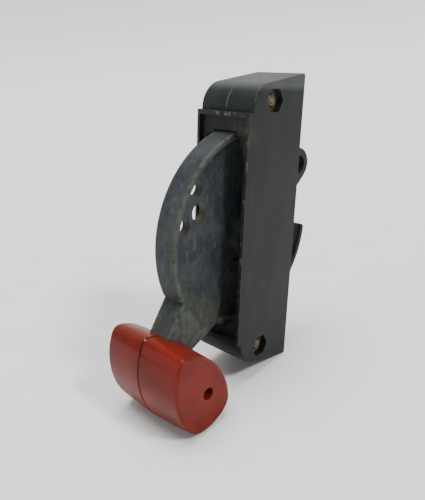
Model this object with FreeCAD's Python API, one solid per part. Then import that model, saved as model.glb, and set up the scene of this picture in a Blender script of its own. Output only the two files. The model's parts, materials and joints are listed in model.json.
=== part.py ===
import FreeCAD, Part
import math
import os

# Flange-mounted operating handle of a knife blade switch: a housing of two clamped halves, a cast
# lever that swings in it, and a two-piece grip on the lever's arm.
#
# Frame, in millimetres: X across the housing with x = 0 on the seam between the halves, Y from the
# front face (y = 0, where the enclosure flange bears) to the back, Z up with z = 0 at mid height.
# Angles on the lever are read about its pivot from straight forward (-Y), upwards.

os.makedirs("parts", exist_ok=True)

# ---- driving dimensions: housing ----
housing_depth = 44.0
front_width = 35.5
back_width = 33.7
end_slope = 9.4            # degrees that the top and bottom rise towards the back
front_corner_radius = 14.0
side_edge_radius = 1.2
back_corner_radius = 1.0
end_wall = 1.5             # skin between a clamp bolt boss and the end face, at the bolt
front_wall = 4.0
rear_wall = 4.0
cavity_half_width = 13.0
cavity_wall = 4.0
cavity_front_radius = 10.0
cavity_back_radius = 3.0
bezel_lip = 2.6
lip_side_wall = 1.6
lip_end_wall = 2.4
bezel_margin = 10.43       # from the sector's crossing of the front face to the bezel's end

# ---- driving dimensions: lever ----
pivot_depth = 17.8
pivot_z = -4.2
sector_radius = 59.3
sector_step = 6.3          # the lower sector is this much smaller
sector_end_bevel = 2.2     # on the lower sector's back corner
rim_width = 14.2
lower_rim_width = 11.0
rim_thickness = 3.2
lower_rim_thickness = 3.5
web_thickness = 5.5
hub_radius = 13.0
hub_width = 16.4
sector_top_angle = 80.0
arm_top_angle = -26.0
arm_bottom_angle = -59.3
arm_notch = 1.1            # depth of the crease between the rim's end and the arm
arm_reach = 28.1           # from the sector's edge to the grip screw
arm_front = (-12.0, 22.0)  # (y, z) from the grip screw to the arm's front edge, in the grip
arm_back = (5.0, 8.6)      # the same to its back edge
arm_bevel = 3.0            # the bevelled back edge moves in by this, in y and in z, at the grip
arm_bevel_depth = 2.8      # and the bevel takes this much off each side
root_ramp_radius = 15.5    # the arm's sides slope down to the web over this much of the radius
root_ramp_angle = 12.0     # and over this angle at the rim
rim_fillet = 2.0
rim_inner_edge = 0.7
rim_outer_edge = 1.0
hub_overlap = 2.0
lower_sector_end_angle = -177.0
travel = 92.0              # degrees from OFF (down) to ON (up)
crank_radius = 54.8
crank_angle = 139.9
crank_eye_radius = 9.7
crank_bore_radius = 5.5
padlock_small_radius = 4.35
padlock_large_radius = 5.2
padlock_edge = 6.1         # from the inside of the rim to the centres of the outer holes
padlock_row_gap = 8.5      # radial step to the inner hole
padlock_angle = 24.8
padlock_spread = 11.7

# ---- driving dimensions: grip ----
grip_length = 54.0
grip_angle = -53.1         # of the grip screw, on the lever
grip_size = 1.0            # scale of the outline below
grip_outline = ((17.7, -8.0), (15.1, 2.4), (8.0, 13.7), (-2.1, 22.3), (-12.5, 26.5),
                (-18.9, 26.2), (-22.3, 20.2), (-23.6, 8.4), (-21.0, -4.9), (-15.0, -16.1),
                (-8.1, -22.2), (-0.9, -23.2), (8.9, -20.0), (16.0, -14.0))
grip_crown = 0.07          # the outline shrinks by this fraction from the seam to an end
grip_crown_middle = 0.027  # and by this much half way
grip_end_radius = 1.8
seam_chamfer = 0.7
tang_thickness = 9.0
tang_screw_radius = 8.5
tang_root_radius = 8.0
tang_root = (-3.3, 14.8)   # (y, z) from the grip screw to the tang's root

# ---- driving dimensions: shaft, stops and fasteners ----
shaft_radius = 6.0
bushing_wall = 2.0
bushing_flange_radius = 11.0
bushing_flange = 1.2
bushing_boss_wall = 5.0
boss_face = 11.2           # x of the inner face of a pivot boss
skin = 1.9                 # left outside a blind bore in the side wall
washer_thickness = 0.8
wave_washer_thickness = 0.6
roll_pin_radius = 2.0
roll_pin_wall = 0.6
roll_pin_setback = 0.6     # below the hub's rim at each end
roll_pin_clear = 0.9       # between the web and the roll pin
stop_radius = 19.0
stop_angle = -65.0
stop_pin_radius = 3.0
stop_sleeve_radius = 4.0
stop_boss_wall = 2.5
stop_boss_gap = 1.3        # from the hub's face to a stop boss
pin_chamfer = 0.5
clamp_thread_radius = 3.175
clamp_nut_flats = 11.1
head_pocket_gap = 0.9      # round the corners of a bolt head
bolt_chamfer = 0.6
clamp_nut_height = 5.6
nut_pocket_depth = 9.5
clamp_boss_radius = 8.2
clamp_boss_gap = 5.3       # between the lever's sector and a clamp boss
clamp_end_below = 2.4      # bolt end below the right side face
head_pocket_depth = 6.0
head_height = 4.2
lock_washer_thickness = 1.6
dowel_radius = 2.0
dowel_length = 12.0
dowel_setback = 13.0       # behind the clamp bolts
dowel_boss_radius = 5.0
mount_hole_radius = 2.1
mount_hole_spacing_x = 18.0
mount_hole_margin = 10.5   # from the housing's end at the back
mount_boss_radius = 5.0
mount_boss_depth = 10.0
grip_screw_radius = 3.175
grip_hole_radius = 3.4
grip_head_extra = 2.0      # depth of the grip's head pocket beyond a clamp bolt's
grip_pocket_gap = 0.6
socket_flats = 5.0
socket_floor = 1.5
head_rounding = 0.8
lock_washer_setback = 0.3

# ---- clearances ----
running_fit = 0.05
slip_fit = 0.1
pocket_fit = 0.2
sweep_gap = 0.7
stop_gap = 0.35
window_gap = 0.5

# ---- derived sizes ----
lower_radius = sector_radius - sector_step
front_crossing = pivot_z + math.sqrt(sector_radius ** 2 - pivot_depth ** 2)
bezel_height = 2 * (front_crossing + bezel_margin)
pivot = (pivot_depth, pivot_z)
clamp_z = pivot_z + sector_radius + clamp_boss_gap + clamp_boss_radius
slope = math.tan(math.radians(end_slope))
back_height = 2 * (clamp_z + clamp_boss_radius + end_wall + (housing_depth - pivot_depth) * slope)
front_height = back_height - 2 * housing_depth * slope
bushing_radius = shaft_radius + bushing_wall
stop_boss_face = hub_width / 2 + stop_boss_gap
head_pocket_radius = clamp_nut_flats / math.sqrt(3) + head_pocket_gap
past = 1.0                 # how far a cut runs beyond the face it opens
lap_angle = 1.0            # degrees by which swept parts of the lever run into each other
coincident = 1e-4          # places nearer than this are the same place
quarter_turn = 90
hexagon = 6


def side_x(depth):
    """Half the housing's width at a depth behind the front face."""
    return front_width / 2 - (front_width - back_width) / 2 * depth / housing_depth


def at_lever(radius, angle):
    """(y, z) of a point on the lever, from its radius and angle about the pivot."""
    turn = math.radians(angle)
    return (pivot_depth - radius * math.cos(turn), pivot_z + radius * math.sin(turn))


# ---- outlines and simple solids ----
def rounded_wire(corners, place):
    """Closed wire through (u, v, corner radius) points, in the plane that place maps to."""
    points = []
    count = len(corners)
    for i, (u, v, radius) in enumerate(corners):
        before = corners[i - 1]
        after = corners[(i + 1) % count]
        to_before = FreeCAD.Vector(before[0] - u, before[1] - v, 0).normalize()
        to_after = FreeCAD.Vector(after[0] - u, after[1] - v, 0).normalize()
        here = FreeCAD.Vector(u, v, 0)
        if radius <= 0:
            points.append((here, None, here))
            continue
        half = to_before.getAngle(to_after) / 2
        reach = radius / math.tan(half)
        inward = (to_before + to_after).normalize()
        middle = here + inward * (radius / math.sin(half) - radius)
        points.append((here + to_before * reach, middle, here + to_after * reach))
    edges = []
    for i, (start, middle, end) in enumerate(points):
        if middle is not None:
            arc = Part.Arc(place(start.x, start.y), place(middle.x, middle.y), place(end.x, end.y))
            edges.append(arc.toShape())
        following = points[(i + 1) % count][0]
        if (following - end).Length > coincident:
            edges.append(Part.makeLine(place(end.x, end.y), place(following.x, following.y)))
    return Part.Wire(edges)


def side_prism(corners, x_low, x_high):
    """Prism along X over a side outline of (y, z, corner radius) points."""
    wire = rounded_wire(corners, lambda y, z: FreeCAD.Vector(x_low, y, z))
    return Part.Face(wire).extrude(FreeCAD.Vector(x_high - x_low, 0, 0))


def box(x_range, y_range, z_range):
    corner = FreeCAD.Vector(x_range[0], y_range[0], z_range[0])
    return Part.makeBox(x_range[1] - x_range[0], y_range[1] - y_range[0],
                        z_range[1] - z_range[0], corner)


def cross_cylinder(radius, x_low, x_high, centre):
    """Cylinder along X through the (y, z) centre."""
    start = FreeCAD.Vector(x_low, centre[0], centre[1])
    return Part.makeCylinder(radius, x_high - x_low, start, FreeCAD.Vector(1, 0, 0))


def cross_ring(inner, outer, x_low, x_high, centre):
    return cross_cylinder(outer, x_low, x_high, centre).cut(
        cross_cylinder(inner, x_low, x_high, centre))


def hex_prism(flats, x_low, x_high, centre):
    """Hexagonal prism along X with two flats level, above and below the centre."""
    corner_radius = flats / math.sqrt(3)
    corners = []
    for k in range(hexagon):
        turn = 2 * math.pi * k / hexagon
        corners.append((centre[0] + corner_radius * math.cos(turn),
                        centre[1] + corner_radius * math.sin(turn), 0))
    return side_prism(corners, x_low, x_high)


def lever_revolve(section, start_angle, end_angle):
    """Solid swept about the pivot by a section of (x, radius, corner radius) points."""
    def place(x, radius):
        y, z = at_lever(radius, start_angle)
        return FreeCAD.Vector(x, y, z)
    face = Part.Face(rounded_wire(section, place))
    centre = FreeCAD.Vector(0, pivot_depth, pivot_z)
    solid = face.revolve(centre, FreeCAD.Vector(-1, 0, 0), end_angle - start_angle)
    if solid.Volume < 0:
        solid.reverse()
    return solid


def egg_solid(centre_a, radius_a, centre_b, radius_b, x_low, x_high):
    """Prism along X over two circles joined by their outer tangents."""
    gap = math.hypot(centre_b[0] - centre_a[0], centre_b[1] - centre_a[1])
    heading = math.atan2(centre_b[1] - centre_a[1], centre_b[0] - centre_a[0])
    lean = math.acos((radius_a - radius_b) / gap)

    def rim(centre, radius, turn):
        return FreeCAD.Vector(x_low, centre[0] + radius * math.cos(turn),
                              centre[1] + radius * math.sin(turn))
    a_left = rim(centre_a, radius_a, heading + lean)
    a_far = rim(centre_a, radius_a, heading + math.pi)
    a_right = rim(centre_a, radius_a, heading - lean)
    b_right = rim(centre_b, radius_b, heading - lean)
    b_far = rim(centre_b, radius_b, heading)
    b_left = rim(centre_b, radius_b, heading + lean)
    wire = Part.Wire([Part.Arc(a_left, a_far, a_right).toShape(), Part.makeLine(a_right, b_right),
                      Part.Arc(b_right, b_far, b_left).toShape(), Part.makeLine(b_left, a_left)])
    return Part.Face(wire).extrude(FreeCAD.Vector(x_high - x_low, 0, 0))


def edges_at_x(shape, x):
    """Edges that lie wholly in the plane x."""
    found = []
    for edge in shape.Edges:
        bounds = edge.BoundBox
        if max(abs(bounds.XMin - x), abs(bounds.XMax - x)) < coincident:
            found.append(edge)
    return found


def fused(first, *others):
    return first.multiFuse(list(others)).removeSplitter()


def save(name, shape):
    shape.exportStep("parts/%s.step" % name)


# ---- housing halves ----
clamp_points = [(pivot_depth, clamp_z), (pivot_depth, -clamp_z)]
dowel_points = [(y + dowel_setback, z) for y, z in clamp_points]
stop_point = at_lever(stop_radius, stop_angle)
mount_hole_z = back_height / 2 - mount_hole_margin
shaft_end = side_x(pivot_depth) - skin - running_fit
stop_end = side_x(stop_point[0]) - skin - running_fit
crank_sweep = crank_radius + crank_eye_radius
rear_open_top = pivot_z + sector_radius - 2 * sweep_gap
rear_open_bottom = pivot_z - math.sqrt(crank_sweep ** 2 - (housing_depth - pivot_depth) ** 2)


def housing_block():
    """The outer form of the right half, x from 0 outwards, without its bezel lip."""
    front = front_height / 2
    back = back_height / 2
    outline = [(0, -front, front_corner_radius), (housing_depth, -back, back_corner_radius),
               (housing_depth, back, back_corner_radius), (0, front, front_corner_radius)]
    block = side_prism(outline, 0, front_width / 2)
    taper = [(front_width / 2, 0), (front_width, 0), (front_width, housing_depth),
             (back_width / 2, housing_depth)]
    points = [FreeCAD.Vector(x, y, -back_height) for x, y in taper + taper[:1]]
    shaving = Part.Face(Part.makePolygon(points)).extrude(FreeCAD.Vector(0, 0, 2 * back_height))
    block = block.cut(shaving)
    rounded = []
    for edge in block.Edges:
        middle = edge.valueAt((edge.FirstParameter + edge.LastParameter) / 2)
        on_side = abs(middle.x - side_x(middle.y)) < coincident
        if on_side and middle.y > coincident:
            rounded.append(edge)
    return block.makeFillet(side_edge_radius, rounded)


def bezel_ring():
    """Raised lip round the front recess, flush with the housing's sides."""
    outer = box((0, front_width / 2), (-bezel_lip, past), (-bezel_height / 2, bezel_height / 2))
    inner = box((-past, front_width / 2 - lip_side_wall), (-bezel_lip - past, 0.0),
                (-bezel_height / 2 + lip_end_wall, bezel_height / 2 - lip_end_wall))
    return outer.cut(inner)


def cavity():
    """Inside of the right half: a chamber behind the front wall, open at the back."""
    inset = cavity_wall / math.cos(math.radians(end_slope))
    front = front_height / 2 + front_wall * slope - inset
    back = back_height / 2 - rear_wall * slope - inset
    outline = [(front_wall, -front, cavity_front_radius),
               (housing_depth - rear_wall, -back, cavity_back_radius),
               (housing_depth - rear_wall, back, cavity_back_radius),
               (front_wall, front, cavity_front_radius)]
    chamber = side_prism(outline, -past, cavity_half_width)
    doorway = box((-past, cavity_half_width), (housing_depth / 2, housing_depth + past),
                  (rear_open_bottom, rear_open_top))
    return chamber.fuse(doorway)


def window():
    """Front opening for the lever, with a narrower notch above and below for its rims."""
    half_height = front_crossing - 2 * sweep_gap
    opening = box((-past, cavity_half_width), (-past, front_wall + past),
                  (-half_height, half_height))
    notches = []
    for radius, width, start, end in ((sector_radius, rim_width, 0, quarter_turn),
                                      (lower_radius, lower_rim_width, -quarter_turn, 0)):
        notch_half = width / 2 + window_gap
        notches.append(lever_revolve([(-past, hub_radius, 0), (notch_half, hub_radius, 0),
                                      (notch_half, radius + sweep_gap, 0),
                                      (-past, radius + sweep_gap, 0)], start, end))
    return opening.fuse(notches)


def housing_half(name, side):
    """One half: its bosses, blind bores and bolt pockets are cut, then it is mirrored if left."""
    half = housing_block().fuse(bezel_ring())
    half = half.cut(cavity()).cut(window())
    bosses = [cross_cylinder(bushing_radius + bushing_boss_wall, boss_face,
                             side_x(pivot_depth) - past, pivot),
              cross_cylinder(stop_sleeve_radius + stop_boss_wall, stop_boss_face,
                             side_x(stop_point[0]) - past, stop_point)]
    for point in clamp_points:
        bosses.append(cross_cylinder(clamp_boss_radius, 0, cavity_half_width + past, point))
    for point in dowel_points:
        bosses.append(cross_cylinder(dowel_boss_radius, 0, cavity_half_width + past, point))
    for level in (mount_hole_z, -mount_hole_z):
        base = FreeCAD.Vector(mount_hole_spacing_x / 2, housing_depth - mount_boss_depth, level)
        bosses.append(Part.makeCylinder(mount_boss_radius, mount_boss_depth - past, base,
                                        FreeCAD.Vector(0, 1, 0)))
    half = fused(half, *bosses)
    cuts = [cross_cylinder(bushing_radius, boss_face - past, shaft_end + running_fit, pivot),
            cross_cylinder(stop_pin_radius, stop_boss_face - past, stop_end + running_fit,
                           stop_point)]
    for point in clamp_points:
        cuts.append(cross_cylinder(clamp_thread_radius + slip_fit, -past, front_width, point))
        face = side_x(point[0])
        if side == "right":
            cuts.append(hex_prism(clamp_nut_flats + 2 * pocket_fit, face - nut_pocket_depth,
                                  front_width, point))
        else:
            cuts.append(cross_cylinder(head_pocket_radius, face - head_pocket_depth, front_width,
                                       point))
    for point in dowel_points:
        cuts.append(cross_cylinder(dowel_radius, -past, dowel_length / 2 + slip_fit, point))
    for level in (mount_hole_z, -mount_hole_z):
        base = FreeCAD.Vector(mount_hole_spacing_x / 2, housing_depth - mount_boss_depth - past,
                              level)
        cuts.append(Part.makeCylinder(mount_hole_radius, mount_boss_depth + 2 * past, base,
                                      FreeCAD.Vector(0, 1, 0)))
    for cut in cuts:
        half = half.cut(cut)
    half = half.removeSplitter()
    if side == "left":
        half = half.mirror(FreeCAD.Vector(0, 0, 0), FreeCAD.Vector(1, 0, 0))
    save(name, half)


housing_half("housing_right", "right")
housing_half("housing_left", "left")

# ---- clamp bolts through both halves, with nuts in the hexagonal pockets ----
bolts = []
nuts = []
washers = []
for point in clamp_points:
    right_face = side_x(point[0])
    head_seat = -right_face + head_pocket_depth - lock_washer_thickness
    shank = cross_cylinder(clamp_thread_radius, head_seat, right_face - clamp_end_below, point)
    shank = shank.makeChamfer(bolt_chamfer, edges_at_x(shank, right_face - clamp_end_below))
    head = hex_prism(clamp_nut_flats, head_seat - head_height, head_seat, point)
    bolts.append(shank.fuse(head).removeSplitter())
    nut_seat = right_face - nut_pocket_depth
    nut = hex_prism(clamp_nut_flats, nut_seat, nut_seat + clamp_nut_height, point)
    nuts.append(nut.cut(cross_cylinder(clamp_thread_radius, 0, front_width, point)))
    washers.append(cross_ring(clamp_thread_radius, clamp_nut_flats / 2, head_seat,
                              head_seat + lock_washer_thickness, point))
save("clamp_bolts", Part.makeCompound(bolts))
save("clamp_nuts", Part.makeCompound(nuts))
save("clamp_lock_washers", Part.makeCompound(washers))

dowels = []
for point in dowel_points:
    dowel = cross_cylinder(dowel_radius, -dowel_length / 2, dowel_length / 2, point)
    dowels.append(dowel.makeChamfer(pin_chamfer, edges_at_x(dowel, dowel_length / 2)
                                    + edges_at_x(dowel, -dowel_length / 2)))
save("alignment_dowels", Part.makeCompound(dowels))

# ---- pivot: shaft on the lever, turning in flanged bushings in the halves ----
flange_face = boss_face - bushing_flange
for name, sign in (("bushing_right", 1), ("bushing_left", -1)):
    sleeve = cross_cylinder(bushing_radius, flange_face, shaft_end, pivot)
    flange = cross_cylinder(bushing_flange_radius, flange_face, boss_face, pivot)
    bore = cross_cylinder(shaft_radius + running_fit, 0, front_width, pivot)
    bushing = sleeve.fuse(flange).removeSplitter().cut(bore)
    if sign < 0:
        bushing = bushing.mirror(FreeCAD.Vector(0, 0, 0), FreeCAD.Vector(1, 0, 0))
    save(name, bushing)

shaft = cross_cylinder(shaft_radius, -shaft_end + slip_fit, shaft_end - slip_fit, pivot)
shaft = shaft.makeChamfer(bolt_chamfer, edges_at_x(shaft, shaft_end - slip_fit)
                          + edges_at_x(shaft, -shaft_end + slip_fit))
roll_pin_x = web_thickness / 2 + roll_pin_radius + roll_pin_clear
roll_pin_half = hub_radius - roll_pin_setback
pin_turn = math.radians(crank_angle)
pin_axis = FreeCAD.Vector(0, math.sin(pin_turn), math.cos(pin_turn))
pin_middle = FreeCAD.Vector(roll_pin_x, pivot_depth, pivot_z)


def roll_pin_cylinder(radius, half_length):
    return Part.makeCylinder(radius, 2 * half_length, pin_middle - pin_axis * half_length, pin_axis)


save("pivot_shaft", shaft.cut(roll_pin_cylinder(roll_pin_radius, hub_radius)))
roll_pin = roll_pin_cylinder(roll_pin_radius, roll_pin_half)
roll_pin = roll_pin.cut(roll_pin_cylinder(roll_pin_radius - roll_pin_wall, hub_radius + past))
save("lever_roll_pin", roll_pin)

hub_face = hub_width / 2
washer_bore = shaft_radius + slip_fit
left_washer = cross_ring(washer_bore, bushing_flange_radius, -flange_face, -hub_face - slip_fit,
                         pivot)
save("thrust_washer_left", left_washer)
right_washer = cross_ring(washer_bore, bushing_flange_radius, hub_face + slip_fit,
                          hub_face + slip_fit + washer_thickness, pivot)
save("thrust_washer_right", right_washer)
wave_washer = cross_ring(washer_bore + pin_chamfer, bushing_flange_radius - pin_chamfer,
                         flange_face - wave_washer_thickness, flange_face, pivot)
save("wave_washer", wave_washer)

# ---- travel stop: a pin across the halves with a sleeve, in an arc slot of the lever ----
stop_pin = cross_cylinder(stop_pin_radius, -stop_end, stop_end, stop_point)
stop_pin = stop_pin.makeChamfer(pin_chamfer, edges_at_x(stop_pin, stop_end)
                                + edges_at_x(stop_pin, -stop_end))
save("stop_pin", stop_pin)
stop_sleeve = cross_ring(stop_pin_radius + running_fit, stop_sleeve_radius,
                         -stop_boss_face + slip_fit, stop_boss_face - slip_fit, stop_point)
save("stop_sleeve", stop_sleeve)

# ---- grip: two halves on the lever's tang, held by one screw and a nut ----
screw_point = at_lever(sector_radius + arm_reach, grip_angle)
tang_root_point = (screw_point[0] + tang_root[0], screw_point[1] + tang_root[1])
tang_half = tang_thickness / 2
grip_half_length = grip_length / 2
grip_head_seat = grip_half_length - head_pocket_depth - grip_head_extra
grip_nut_seat = tang_half + pocket_fit


def grip_section(x, shrink, gap):
    """Closed smooth outline of the grip at x, shrunk towards the screw and grown by a gap."""
    points = []
    for y, z in grip_outline:
        reach = math.hypot(y, z)
        scale = grip_size * (1 - shrink) + gap / reach
        points.append(FreeCAD.Vector(x, screw_point[0] + y * scale, screw_point[1] + z * scale))
    curve = Part.BSplineCurve()
    curve.interpolate(points, PeriodicFlag=True)
    return Part.Wire(curve.toShape())


def grip_body(gap):
    """One half of the grip's outer form, from the seam to the right end."""
    return Part.makeLoft([grip_section(0, 0, gap),
                          grip_section(grip_half_length / 2, grip_crown_middle, gap),
                          grip_section(grip_half_length, grip_crown, gap)], True)


def mirrored(shape):
    return shape.mirror(FreeCAD.Vector(0, 0, 0), FreeCAD.Vector(1, 0, 0))


def grip_half(name, side):
    """One half of the grip, pocketed for the tang; built to the right, mirrored if left."""
    half = grip_body(0)
    half = half.makeFillet(grip_end_radius, edges_at_x(half, grip_half_length))
    half = half.makeChamfer(seam_chamfer, edges_at_x(half, 0))
    pocket = egg_solid(screw_point, tang_screw_radius + pocket_fit, tang_root_point,
                       tang_root_radius + pocket_fit, -past, tang_half + pocket_fit)
    half = half.cut(pocket)
    half = half.cut(cross_cylinder(grip_hole_radius, -past, grip_length, screw_point))
    if side == "right":
        half = half.cut(hex_prism(clamp_nut_flats + 2 * pocket_fit, 0,
                                  grip_nut_seat + clamp_nut_height + pocket_fit, screw_point))
        save(name, half)
    else:
        half = half.cut(cross_cylinder(clamp_nut_flats / 2 + grip_pocket_gap, grip_head_seat,
                                       grip_length, screw_point))
        save(name, mirrored(half))


grip_half("grip_right", "right")
grip_half("grip_left", "left")

grip_screw_end = grip_nut_seat + clamp_nut_height
grip_screw = cross_cylinder(grip_screw_radius, -grip_head_seat, grip_screw_end, screw_point)
grip_screw = grip_screw.makeChamfer(bolt_chamfer, edges_at_x(grip_screw, grip_screw_end))
screw_head_seat = -grip_head_seat - lock_washer_thickness
screw_head = cross_cylinder(clamp_nut_flats / 2, screw_head_seat - head_height, screw_head_seat,
                            screw_point)
screw_head = screw_head.makeFillet(head_rounding, edges_at_x(screw_head, screw_head_seat - head_height))
screw_neck = cross_cylinder(grip_screw_radius, screw_head_seat, 0, screw_point)
hex_socket = hex_prism(socket_flats, screw_head_seat - head_height - past,
                       screw_head_seat - socket_floor, screw_point)
save("grip_screw", fused(grip_screw, screw_head, screw_neck).cut(hex_socket))
grip_nut = hex_prism(clamp_nut_flats, grip_nut_seat, grip_nut_seat + clamp_nut_height, screw_point)
save("grip_nut", grip_nut.cut(cross_cylinder(grip_screw_radius, 0, grip_length, screw_point)))
save("grip_lock_washer", cross_ring(grip_screw_radius, clamp_nut_flats / 2 - lock_washer_setback,
                                    screw_head_seat,
                                    -grip_head_seat, screw_point))

# ---- lever: hub, two rimmed sectors, arm with its tang, and the crank eye at the back ----
web_half = web_thickness / 2
plate_radius = lower_radius - lower_rim_thickness


def rimmed_sector(radius, half_rim, thickness, start_angle, end_angle):
    """Web with a flange along its arc, swept about the pivot."""
    inside = radius - thickness
    right = [(web_half, hub_radius - hub_overlap, 0), (web_half, inside, rim_fillet),
             (half_rim, inside, rim_inner_edge), (half_rim, radius, rim_outer_edge)]
    left = [(-x, r, corner) for x, r, corner in reversed(right)]
    return lever_revolve(right + left, start_angle, end_angle)


def arm_layer(x, slope, bevel):
    """Outline of the arm at x. Slope, from 0 to 1, runs its inner boundary in towards the web, and
    bevel moves its back edge in where it enters the grip."""
    back = (screw_point[0] + arm_back[0] - bevel, screw_point[1] + arm_back[1] + bevel)
    corners = [at_lever(sector_radius - arm_notch, arm_top_angle - lap_angle),
               at_lever(sector_radius - arm_notch / 2, arm_top_angle - 2 * lap_angle),
               (screw_point[0] + arm_front[0], screw_point[1] + arm_front[1]), back,
               at_lever(lower_radius, arm_bottom_angle),
               at_lever(plate_radius - slope * root_ramp_radius, arm_bottom_angle + lap_angle),
               at_lever(sector_radius - rim_thickness, arm_top_angle + slope * root_ramp_angle)]
    points = [FreeCAD.Vector(x, y, z) for y, z in corners + corners[:1]]
    return Part.makePolygon(points)


def arm_solid():
    """The arm between the sectors and the grip, cut to the grip's outline."""
    half_rim = rim_width / 2
    bevel_x = half_rim - arm_bevel_depth
    bevel_slope = arm_bevel_depth / (half_rim - web_half)
    layers = [(half_rim, 0, arm_bevel), (bevel_x, bevel_slope, 0), (web_half, 1, 0)]
    sections = [arm_layer(-x, slope, bevel) for x, slope, bevel in layers]
    sections += [arm_layer(x, slope, bevel) for x, slope, bevel in reversed(layers)]
    envelope = grip_body(slip_fit)
    return Part.makeLoft(sections, True, True).cut(envelope.fuse(mirrored(envelope)))


def sector_end_wedge():
    """What the bevel takes off the corner at the lower sector's back end."""
    turn = math.degrees(sector_end_bevel / lower_radius)
    corners = [at_lever(lower_radius + past, lower_sector_end_angle - turn),
               at_lever(lower_radius + past, lower_sector_end_angle + 2 * turn),
               at_lever(lower_radius, lower_sector_end_angle + turn),
               at_lever(lower_radius - sector_end_bevel, lower_sector_end_angle),
               at_lever(lower_radius - sector_end_bevel, lower_sector_end_angle - turn)]
    return side_prism([(y, z, 0) for y, z in corners], -front_width, front_width)


def lever_casting():
    front = rimmed_sector(sector_radius, rim_width / 2, rim_thickness, arm_top_angle,
                          sector_top_angle)
    lower = rimmed_sector(lower_radius, lower_rim_width / 2, lower_rim_thickness,
                          arm_bottom_angle + lap_angle, lower_sector_end_angle)
    lower = lower.cut(sector_end_wedge())
    plate = [(web_half, hub_radius - hub_overlap, 0), (web_half, plate_radius, 0),
             (-web_half, plate_radius, 0), (-web_half, hub_radius - hub_overlap, 0)]
    web = lever_revolve(plate, arm_bottom_angle - lap_angle, arm_top_angle + lap_angle)
    hub = cross_cylinder(hub_radius, -hub_width / 2, hub_width / 2, pivot)
    tang = egg_solid(screw_point, tang_screw_radius, tang_root_point, tang_root_radius, -tang_half,
                     tang_half)
    crank_eye = at_lever(crank_radius, crank_angle)
    crank = egg_solid(pivot, hub_radius, crank_eye, crank_eye_radius, -lower_rim_width / 2,
                      lower_rim_width / 2)
    crank = crank.makeFillet(rim_outer_edge, edges_at_x(crank, lower_rim_width / 2)
                             + edges_at_x(crank, -lower_rim_width / 2))
    casting = fused(hub, front, lower, web, arm_solid(), tang, crank)
    cuts = [cross_cylinder(shaft_radius, -front_width, front_width, pivot),
            cross_cylinder(crank_bore_radius, -front_width, front_width, crank_eye),
            cross_cylinder(grip_hole_radius, -front_width, front_width, screw_point),
            roll_pin_cylinder(roll_pin_radius, hub_radius + past)]
    outer_row = sector_radius - rim_thickness - padlock_edge
    for radius, angle, hole in ((outer_row, padlock_angle + padlock_spread, padlock_small_radius),
                                (outer_row, padlock_angle - padlock_spread, padlock_small_radius),
                                (outer_row - padlock_row_gap, padlock_angle,
                                 padlock_large_radius)):
        cuts.append(cross_cylinder(hole, -front_width, front_width, at_lever(radius, angle)))
    reach = stop_sleeve_radius + stop_gap
    slot = [(-front_width, stop_radius - reach, 0), (front_width, stop_radius - reach, 0),
            (front_width, stop_radius + reach, 0), (-front_width, stop_radius + reach, 0)]
    cuts.append(lever_revolve(slot, stop_angle - travel, stop_angle))
    for angle in (stop_angle, stop_angle - travel):
        cuts.append(cross_cylinder(reach, -front_width, front_width,
                                   at_lever(stop_radius, angle)))
    for cut in cuts:
        casting = casting.cut(cut)
    return casting.removeSplitter()


save("operating_lever", lever_casting())
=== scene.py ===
import json
import math
import bmesh
import bpy
from mathutils import Matrix, Quaternion, Vector


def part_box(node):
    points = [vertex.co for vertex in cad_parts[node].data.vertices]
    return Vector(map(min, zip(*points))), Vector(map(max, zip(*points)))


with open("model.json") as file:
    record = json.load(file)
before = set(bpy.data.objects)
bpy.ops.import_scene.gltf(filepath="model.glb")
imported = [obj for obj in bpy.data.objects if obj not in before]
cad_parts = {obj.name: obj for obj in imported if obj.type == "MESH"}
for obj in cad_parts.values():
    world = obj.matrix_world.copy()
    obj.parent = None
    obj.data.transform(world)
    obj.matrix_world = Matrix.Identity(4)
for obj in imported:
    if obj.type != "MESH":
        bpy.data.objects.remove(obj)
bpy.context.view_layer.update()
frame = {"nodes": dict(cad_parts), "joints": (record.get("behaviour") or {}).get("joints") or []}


# ==== Housing ====
# Two mirror-image halves, compression moulded in charcoal glass-filled polyester and clamped face to
# face. Years of use have left them satin, smudged and dusty, and scuffed pale along the thin front lip.

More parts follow.
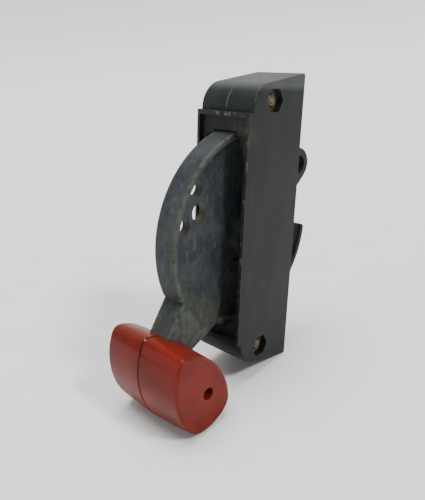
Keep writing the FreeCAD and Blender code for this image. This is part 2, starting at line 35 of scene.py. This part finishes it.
class Signal:
    """A node socket of a finish. Sums written on it become Math nodes of that finish."""

    def __init__(self, socket):
        self.socket = socket

    def node(self, kind, settings, sockets, output=0):
        """A node of that kind, set up first and then fed with values or with other signals."""
        tree = self.socket.id_data
        made = tree.nodes.new(kind)
        for name, value in settings.items():
            setattr(made, name, value)
        for name, value in sockets.items():
            if isinstance(value, Signal):
                tree.links.new(value.socket, made.inputs[name])
            else:
                made.inputs[name].default_value = value
        return Signal(made.outputs[output])

    def math(self, operation, first, second):
        return self.node("ShaderNodeMath", {"operation": operation}, {0: first, 1: second})

    def __add__(self, other):
        return self.math("ADD", self, other)

    def __radd__(self, other):
        return self.math("ADD", other, self)

    def __sub__(self, other):
        return self.math("SUBTRACT", self, other)

    def __rsub__(self, other):
        return self.math("SUBTRACT", other, self)

    def __mul__(self, other):
        return self.math("MULTIPLY", self, other)

    def __rmul__(self, other):
        return self.math("MULTIPLY", other, self)

    def __abs__(self):
        return self.math("ABSOLUTE", self, 0.0)

    def rise(self, low, high):
        """0 where the signal is below low, 1 where it is above high, and smooth in between."""
        return self.node("ShaderNodeMapRange", {"interpolation_type": "SMOOTHSTEP"},
                         {"Value": self, "From Min": low, "From Max": high})

    def axis(self, letter):
        return self.node("ShaderNodeSeparateXYZ", {}, {0: self}, output="XYZ".index(letter))

    def stretched(self, x, y, z):
        return self.node("ShaderNodeVectorMath", {"operation": "MULTIPLY"}, {0: self, 1: (x, y, z)})

    def distance(self, point):
        return self.node("ShaderNodeVectorMath", {"operation": "DISTANCE"}, {0: self, 1: point},
                         output="Value")

    def cloud(self, scale, detail, roughness=0.55):
        """Soft irregular mottling, with this many patches to the metre."""
        return self.node("ShaderNodeTexNoise", {},
                         {"Vector": self, "Scale": scale, "Detail": detail, "Roughness": roughness})

    def tint(self, below, above):
        """The colour below where the signal is 0 and above where it is 1."""
        return self.node("ShaderNodeMix", {"data_type": "RGBA"}, {0: self, 6: below, 7: above}, output=2)

    def bump(self, depth, strength):
        return self.node("ShaderNodeBump", {}, {"Height": self, "Distance": depth, "Strength": strength})

    def feed(self, socket):
        self.socket.id_data.links.new(self.socket, socket)


def start_finish(name, **fixed):
    """A new material: itself, the sockets of its shader, and the place on the object as a signal."""
    material = bpy.data.materials.new(name)
    material.use_nodes = True
    sockets = material.node_tree.nodes["Principled BSDF"].inputs
    for socket, value in fixed.items():
        sockets[socket.replace("_", " ")].default_value = value
    place = Signal(material.node_tree.nodes.new("ShaderNodeTexCoord").outputs["Object"])
    return material, sockets, place


def dress(material, *nodes):
    for name in nodes:
        for holder in frame["nodes"][name].material_slots:
            holder.material = material


housing_low, housing_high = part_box("housing_right")
front_lip = housing_low.y
side_face = housing_high.x
seam_half = 0.00013

# A fade is the pair of places between which a mask goes from nothing to full.
lip_front_fade = (front_lip + 0.0001, front_lip + 0.0006)
lip_side_fade = (side_face - 0.0022, side_face - 0.0010)
lip_end_fade = (0.0600, 0.0615)
above_lip_fade = (0.0640, 0.0660)
side_edge_fade = (side_face - 0.0012, side_face - 0.0007)
corner_middle = (0.0, 0.0140, 0.0633)  # of the round between the front face and the top
corner_edge_fade = (0.0132, 0.0138)
corner_back_fade = (0.0120, 0.0140)
flash_back_fade = (0.0130, 0.0150)
grime_middle = (0.0100, 0.0005, 0.0500)
grime_fade = (0.0030, 0.0120)
top_fade = (0.0725, 0.0765)
underside_fade = (-0.0740, -0.0640)
charcoal = (0.0100, 0.0122, 0.0120, 1.0)
charcoal_worn = (0.0175, 0.0202, 0.0192, 1.0)
charcoal_dust = (0.050, 0.053, 0.047, 1.0)
charcoal_top_sheen = (0.062, 0.066, 0.066, 1.0)
charcoal_shade = (0.0050, 0.0055, 0.0050, 1.0)
charcoal_scuff_and_highlight = (0.15, 0.158, 0.145, 1.0)
brown_dirt = (0.060, 0.048, 0.030, 1.0)

moulded, sockets, place = start_finish("charcoal_moulding", Specular_IOR_Level=0.22)
x, y, z = place.axis("X"), place.axis("Y"), place.axis("Z")
smudge = place.stretched(1.0, 1.0, 0.35).cloud(65.0, 5.0)
speck = place.cloud(900.0, 3.0, 0.7)
grain = place.cloud(2600.0, 2.0)
hairline = place.stretched(1.0, 0.16, 0.9).cloud(1300.0, 2.0)
colour = smudge.rise(0.38, 0.66).tint(charcoal, charcoal_worn)
colour = (speck.rise(0.60, 0.74) * 0.45 * smudge.rise(0.35, 0.6)).tint(colour, charcoal_dust)
colour = (hairline.rise(0.68, 0.76) * 0.22).tint(colour, charcoal_scuff_and_highlight)
lip = 1.0 - y.rise(*lip_front_fade)
side_edge = abs(x).rise(*side_edge_fade)
end_corner = place.stretched(0.0, 1.0, 1.0).distance(corner_middle).rise(*corner_edge_fade)
# Painted highlight: the side edges of the round between the front face and the top.
corner_highlight = side_edge * end_corner * (1.0 - y.rise(*corner_back_fade))
chips = place.stretched(1.0, 1.0, 0.45).cloud(420.0, 4.0, 0.7)
# Pale chips along the front lip are wear; above the lip the same pale streaks are painted highlights on the
# round's side edges.
worn_edge_and_highlight = (lip * abs(x).rise(*lip_side_fade) + lip * z.rise(*lip_end_fade)
             + corner_highlight * z.rise(*above_lip_fade))
colour = (worn_edge_and_highlight * chips.rise(0.50, 0.66) * 0.6).tint(colour, charcoal_scuff_and_highlight)
flash = ((1.0 - abs(x).rise(seam_half, 2.2 * seam_half)) * z.rise(*above_lip_fade)
         * (1.0 - y.rise(*flash_back_fade)))
colour = (flash * place.cloud(300.0, 2.0).rise(0.30, 0.5) * 0.75).tint(colour, charcoal_scuff_and_highlight)
grime = (1.0 - place.distance(grime_middle).rise(*grime_fade)) * chips.rise(0.42, 0.62)
colour = (grime * 0.75).tint(colour, brown_dirt)
# Painted sheen: the top of the halves is painted lighter in smudged patches, and made a little glossier.
top_painted_sheen = z.rise(*top_fade) * (0.55 + smudge * 0.6)
colour = top_painted_sheen.tint(colour, charcoal_top_sheen)
# Painted shade: the halves are painted darker towards the bottom.
underside_shade = 1.0 - z.rise(*underside_fade)
colour = (underside_shade * 0.65).tint(colour, charcoal_shade)
colour.feed(sockets["Base Color"])
(0.44 - top_painted_sheen * 0.12 + smudge * 0.22 + speck.rise(0.5, 0.75) * 0.12).feed(sockets["Roughness"])
(grain + hairline.rise(0.66, 0.78) * -0.8 + smudge * 3.0).bump(0.00006, 0.5).feed(sockets["Normal"])
dress(moulded, "housing_right", "housing_left")


# ==== Bolts, screw, nuts, washers, dowels, shaft and pins ====
# Two hexagon bolts with nuts and split washers pull the halves together from side to side, and a socket
# screw holds the grip. They are mild steel in a yellow passivated zinc that has dulled to olive. The
# dowels, which line the halves up, the pivot shaft, the pins and the wave washer are plain steel.

nut_low, nut_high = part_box("clamp_nuts")
bolt_y = (nut_low.y + nut_high.y) / 2
bolt_z = nut_high.z - (nut_high.y - nut_low.y) / 2 * math.cos(math.pi / 6)
centre_mark = 0.0010                   # radius of the ring turned in the middle of a bolt's end
thread_pitch = 0.00127

# These fades are squares of radii: the ring's inside and outside, then the start of the chamfer at a
# bolt's end, and just outside the bolt.
ring_in_fade = (centre_mark ** 2, (1.3 * centre_mark) ** 2)
ring_out_fade = ((1.6 * centre_mark) ** 2, (1.9 * centre_mark) ** 2)
rim_in_fade = (0.0026 ** 2, 0.0029 ** 2)
rim_out_fade = (0.0034 ** 2, 0.0036 ** 2)
plating_bright = (0.230, 0.205, 0.115, 1.0)
plating_dull = (0.090, 0.080, 0.042, 1.0)
plating_dirt = (0.024, 0.022, 0.014, 1.0)

plated, sockets, place = start_finish("yellow_plating", Metallic=0.85)
patches = place.cloud(420.0, 4.0, 0.65)
pits = place.cloud(2400.0, 3.0, 0.6)
colour = patches.rise(0.36, 0.66).tint(plating_dull, plating_bright)
colour = (pits.rise(0.52, 0.72) * 0.7).tint(colour, plating_dirt)
off_y = place.axis("Y") - bolt_y
off_z = abs(place.axis("Z")) - bolt_z
off_axis = off_y * off_y + off_z * off_z
ring = off_axis.rise(*ring_in_fade) * (1.0 - off_axis.rise(*ring_out_fade))
end_rim = off_axis.rise(*rim_in_fade) * (1.0 - off_axis.rise(*rim_out_fade))
colour = ((ring + end_rim) * 0.7).tint(colour, plating_dirt)
colour.feed(sockets["Base Color"])
(0.42 + patches * 0.25).feed(sockets["Roughness"])
turns = place.axis("X") * (2 * math.pi / thread_pitch)
thread = turns.node("ShaderNodeMath", {"operation": "SINE"}, {0: turns})
(thread * 0.6 + pits * 0.5).bump(0.00008, 0.5).feed(sockets["Normal"])
dress(plated, "clamp_bolts", "clamp_nuts", "clamp_lock_washers", "grip_screw", "grip_nut",
      "grip_lock_washer")

steel_light = (0.40, 0.40, 0.39, 1.0)
steel_dark = (0.17, 0.165, 0.155, 1.0)
bare_steel, sockets, place = start_finish("turned_steel", Metallic=1.0)
patches = place.cloud(350.0, 4.0, 0.6)
turning = place.stretched(3.0, 0.2, 0.2).cloud(3000.0, 2.0)
patches.rise(0.35, 0.65).tint(steel_dark, steel_light).feed(sockets["Base Color"])
(0.28 + patches * 0.25).feed(sockets["Roughness"])
(turning + patches * 0.5).bump(0.00003, 0.5).feed(sockets["Normal"])
dress(bare_steel, "alignment_dowels", "pivot_shaft", "lever_roll_pin", "wave_washer", "stop_pin")


# ==== Pivot bushings ====
# Two flanged bushings of sintered bronze filled with oil, pressed into the housing's pivot bosses. The
# lever's shaft turns in them. The bronze is darkened in places by a film of oil.

bronze_light = (0.46, 0.30, 0.15, 1.0)
bronze_dark = (0.20, 0.115, 0.050, 1.0)
bronze, sockets, place = start_finish("sintered_bronze", Metallic=1.0)
pores = place.cloud(1800.0, 3.0, 0.7)
film = place.cloud(160.0, 3.0)
film.rise(0.35, 0.65).tint(bronze_dark, bronze_light).feed(sockets["Base Color"])
(0.30 + film * 0.25 + pores * 0.1).feed(sockets["Roughness"])
pores.bump(0.00005, 0.5).feed(sockets["Normal"])
dress(bronze, "bushing_right", "bushing_left")


# ==== Stop sleeve and thrust washers ====
# Black nylon: a tube round the stop pin, which the lever's slot lands on at each end of its travel,
# and a turned washer at each face of the lever's hub.

nylon_black = (0.010, 0.010, 0.010, 1.0)
nylon_rubbed = (0.030, 0.029, 0.027, 1.0)
nylon, sockets, place = start_finish("black_nylon", IOR=1.53)
rub = place.stretched(0.3, 1.0, 1.0).cloud(900.0, 3.0)
rub.rise(0.4, 0.7).tint(nylon_black, nylon_rubbed).feed(sockets["Base Color"])
(0.38 + rub * 0.2).feed(sockets["Roughness"])
rub.bump(0.00003, 0.4).feed(sockets["Normal"])
dress(nylon, "stop_sleeve", "thrust_washer_left", "thrust_washer_right")


# ==== Operating lever ====
# One zinc casting, hub, web, sector rims, arm and crank eye together, with a thin dull olive-grey coat.
# The web is bluish and streaked with dust. The upper rim's edges are painted lighter as highlights. The
# coat is scratched on the arm, and greasy near the grip and behind the housing.

lever_pivot = Vector(frame["joints"][0]["pos_m"])
rim_half = 0.0071
web_half = 0.00275
sector_edge = 0.0593                   # radius of the upper sector's rim about the pivot
web_fade = (web_half + 0.0012, web_half + 0.0030)
lever_low_fade = (-0.0420, -0.0100)
rear_fade = (0.0380, 0.0430)
hole_side_fade = (web_half - 0.0004, web_half - 0.0001)
hole_radius_fade = (0.0520, 0.0530)    # ends at the edge of the lower sector
hole_back_fade = (-0.0140, -0.0130)
arm_grease_middle = (0.0050, -0.0290, -0.0640)
arm_grease_fade = (0.0050, 0.0130)
rim_side_fade = (rim_half - 0.0012, rim_half - 0.0004)
rim_face_fade = (sector_edge - 0.0020, sector_edge - 0.0012)
arm_fade = (sector_edge + 0.0060, sector_edge + 0.0100)
scratch_right_fade = (-0.0050, -0.0020)
scratch_back_fade = (-0.0280, -0.0250)
coat_olive = (0.027, 0.032, 0.026, 1.0)
coat_olive_pale = (0.050, 0.057, 0.047, 1.0)
coat_blue = (0.019, 0.024, 0.028, 1.0)
coat_blue_pale = (0.042, 0.049, 0.052, 1.0)
coat_hole = (0.075, 0.066, 0.042, 1.0)
coat_greasy = (0.0095, 0.0100, 0.0080, 1.0)
coat_brown = (0.032, 0.030, 0.023, 1.0)
coat_dust = (0.11, 0.115, 0.11, 1.0)
coat_highlight = (0.10, 0.108, 0.098, 1.0)
coat_scratched = (0.34, 0.28, 0.13, 1.0)

coated, sockets, place = start_finish("coated_casting", Specular_IOR_Level=0.22)
x, y, z = place.axis("X"), place.axis("Y"), place.axis("Z")
radius = place.stretched(0.0, 1.0, 1.0).distance((0.0, lever_pivot.y, lever_pivot.z))
blotch = place.cloud(75.0, 5.0, 0.6)
mottle = place.cloud(260.0, 5.0, 0.65)
streak = place.stretched(1.0, 1.0, 0.22).cloud(520.0, 4.0, 0.65)
cast = place.cloud(1500.0, 3.0, 0.6)
swipe = place.stretched(1.0, 1.0, -0.06).cloud(1500.0, 2.0)
level = blotch * 0.45 + mottle * 0.35 + streak * 0.20
olive = level.rise(0.40, 0.60).tint(coat_olive, coat_olive_pale)
blue = level.rise(0.40, 0.60).tint(coat_blue, coat_blue_pale)
on_web = 1.0 - abs(x).rise(*web_fade)
colour = on_web.tint(olive, blue)
colour = ((1.0 - z.rise(*lever_low_fade)) * blotch.rise(0.35, 0.65) * 0.6).tint(colour, coat_brown)
colour = (streak.rise(0.56, 0.74) * 0.35).tint(colour, coat_dust)
colour = (swipe.rise(0.68, 0.76) * 0.30).tint(colour, coat_dust)
greasy = y.rise(*rear_fade)
colour = (greasy * 0.8).tint(colour, coat_greasy)
hole_wall = ((1.0 - abs(x).rise(*hole_side_fade)) * (1.0 - radius.rise(*hole_radius_fade))
             * (1.0 - y.rise(*hole_back_fade)))
colour = (hole_wall * 0.8).tint(colour, coat_hole)
arm_grease = 1.0 - place.distance(arm_grease_middle).rise(*arm_grease_fade)
colour = (arm_grease * 0.75).tint(colour, coat_greasy)
# Painted highlight: the upper rim's outer edges are painted lighter in broken streaks.
rim_edge_highlight = abs(x).rise(*rim_side_fade) * radius.rise(*rim_face_fade)
colour = (rim_edge_highlight * mottle.rise(0.35, 0.55) * 0.38).tint(colour, coat_highlight)
on_arm = radius.rise(*arm_fade) * (1.0 - x.rise(*scratch_right_fade))
gouge = place.stretched(1.0, 0.5, 0.08).cloud(1100.0, 2.0)
colour = (on_arm * gouge.rise(0.60, 0.66) * (1.0 - y.rise(*scratch_back_fade))).tint(colour, coat_scratched)
colour.feed(sockets["Base Color"])
(0.46 + level * 0.18 + cast * 0.08).feed(sockets["Roughness"])
(cast * 0.8 + mottle * 2.0 + swipe.rise(0.66, 0.78) * -0.6).bump(0.00007, 0.55).feed(sockets["Normal"])
dress(coated, "operating_lever")


# ==== Grip ====
# Two halves moulded in glossy brick-red plastic, drawn together over the arm's tang by the screw. The
# gloss is smudged low down, with brown rub marks that also serve as painted shade there, and dirt has
# settled in the groove between them.

grip_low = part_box("grip_right")[0]
grip_low_fade = (grip_low.z + 0.004, grip_low.z + 0.022)
groove_fade = (0.0004, 0.0009)
red_bright = (0.165, 0.0140, 0.0080, 1.0)
red_deep = (0.115, 0.0110, 0.0070, 1.0)
red_brown_rub_and_shade = (0.080, 0.024, 0.014, 1.0)
red_rubbed = (0.26, 0.16, 0.12, 1.0)
groove_dirt = (0.060, 0.010, 0.008, 1.0)

red_plastic, sockets, place = start_finish("brick_red_plastic", Specular_IOR_Level=0.04,
                                           Coat_Roughness=0.05)
x, z = place.axis("X"), place.axis("Z")
blush = place.cloud(45.0, 4.0)
haze = place.cloud(240.0, 4.0, 0.6)
rub = place.stretched(0.35, 1.0, 0.35).cloud(900.0, 3.0, 0.6)
nick = place.stretched(1.0, 1.0, 0.12).cloud(1200.0, 2.0)
colour = blush.rise(0.35, 0.65).tint(red_deep, red_bright)
low_down = 1.0 - z.rise(*grip_low_fade)
# Brown rub marks and painted shade: the grip is patchily browner and darker towards the bottom.
colour = (low_down * blush.rise(0.40, 0.60) * rub.rise(0.42, 0.62) * 0.75).tint(colour, red_brown_rub_and_shade)
marks = rub.rise(0.66, 0.74) * 0.25 + nick.rise(0.70, 0.77) * 0.35
colour = (marks * (0.3 + low_down * 0.7)).tint(colour, red_rubbed)
colour = ((1.0 - abs(x).rise(*groove_fade)) * 0.9).tint(colour, groove_dirt)
colour.feed(sockets["Base Color"])
(0.26 + haze * 0.16 + low_down * 0.10 + rub.rise(0.55, 0.7) * 0.1).feed(sockets["Roughness"])
(0.22 - low_down * 0.20).feed(sockets["Coat Weight"])
(blush * 10.0 + haze * 1.2 + rub * 0.25).bump(0.00008, 0.35).feed(sockets["Normal"])
dress(red_plastic, "grip_right", "grip_left")


# ==== Floor and wall ====
# A plain pale board, which the housing's back bottom edge and the underside of the grip both rest on,
# swept up into a plain pale wall a few paces behind the object.

azimuth = math.radians(43.07)          # of the camera, which the wall faces
heel = Vector((0.0, housing_high.y, housing_low.z))
grip_points = [corner.co for corner in frame["nodes"]["grip_right"].data.vertices]
tilt = max(math.atan2(heel.z - point.z, heel.y - point.y) for point in grip_points)
board_half = 12.0
wall_gap = 2.5
sweep_radius = 0.6
wall_height = 5.0
sweep_steps = 24
board_pale = (0.84, 0.84, 0.83, 1.0)
board_paler = (0.88, 0.88, 0.87, 1.0)
board_white, sockets, place = start_finish("pale_board", Roughness=0.85)
place.cloud(30.0, 3.0).tint(board_pale, board_paler).feed(sockets["Base Color"])
shape = bmesh.new()
front_edge = shape.edges.new([shape.verts.new((side * board_half, -board_half, 0.0)) for side in (-1, 1)])
flat = bmesh.ops.extrude_edge_only(shape, edges=[front_edge])["geom"]
corners = [part for part in flat if isinstance(part, bmesh.types.BMVert)]
bmesh.ops.translate(shape, verts=corners, vec=(0.0, board_half + wall_gap, 0.0))
back_edge = [part for part in flat
             if isinstance(part, bmesh.types.BMEdge) and set(part.verts) == set(corners)]
swept = bmesh.ops.spin(shape, geom=corners + back_edge, cent=(0.0, wall_gap, sweep_radius), axis=(1, 0, 0),
                       angle=math.radians(90), steps=sweep_steps, use_merge=False, use_duplicate=False)
wall = bmesh.ops.extrude_edge_only(
    shape, edges=[part for part in swept["geom_last"] if isinstance(part, bmesh.types.BMEdge)])["geom"]
bmesh.ops.translate(shape, verts=[part for part in wall if isinstance(part, bmesh.types.BMVert)],
                    vec=(0.0, 0.0, wall_height))
shape.transform(Matrix.Translation(heel) @ Matrix.Rotation(tilt, 4, "X") @ Matrix.Rotation(azimuth, 4, "Z"))
bmesh.ops.recalc_face_normals(shape, faces=shape.faces)
for face in shape.faces:
    face.smooth = True
mesh = bpy.data.meshes.new("board_and_wall")
shape.to_mesh(mesh)
shape.free()
mesh.materials.append(board_white)
board = bpy.data.objects.new("board_and_wall", mesh)
bpy.context.collection.objects.link(board)


# ==== Light ====
# A soft window light from the right, a broad one overhead, a weak one from the front left, and a dim
# pale room all round.

room_colour = (0.93, 0.96, 1.0, 1.0)
room_strength = 0.31
room = bpy.data.worlds.new("room")
bpy.context.scene.world = room
room.use_nodes = True
room.node_tree.nodes["Background"].inputs["Color"].default_value = room_colour
room.node_tree.nodes["Background"].inputs["Strength"].default_value = room_strength


def soft_light(name, towards, spread, strength):
    """A distant light that comes from a direction, as wide as its spread in degrees."""
    data = bpy.data.lights.new(name, "SUN")
    data.angle = math.radians(spread)
    data.energy = strength
    lamp = bpy.data.objects.new(name, data)
    lamp.rotation_mode = "QUATERNION"
    lamp.rotation_quaternion = Vector(towards).to_track_quat("Z", "Y")
    bpy.context.collection.objects.link(lamp)


soft_light("window", (1.00, 0.0, 1.15), 11.0, 2.1)
soft_light("overhead", (-0.10, -0.25, 1.30), 38.0, 2.85)
soft_light("front", (-0.50, -1.20, 0.25), 45.0, 0.55)


# ==== Camera ====
# It stands in front of the handle and to its right, looks slightly down at it, and leans a little to
# one side.

middle = Vector((-0.0264, 0.0218, -0.0220))
camera_distance = 0.3439
lens_length = 40.59                    # in millimetres
nearest = 0.01
elevation, roll = math.radians(17.30), math.radians(1.99)
towards_camera = Vector((math.sin(azimuth) * math.cos(elevation),
                         -math.cos(azimuth) * math.cos(elevation),
                         math.sin(elevation)))
camera_data = bpy.data.cameras.new("camera")
camera_data.lens = lens_length
camera_data.clip_start = nearest
camera = bpy.data.objects.new("camera", camera_data)
camera.location = middle + towards_camera * camera_distance
camera.rotation_mode = "QUATERNION"
camera.rotation_quaternion = towards_camera.to_track_quat("Z", "Y") @ Quaternion((0, 0, 1), roll)
bpy.context.collection.objects.link(camera)
bpy.context.scene.camera = camera
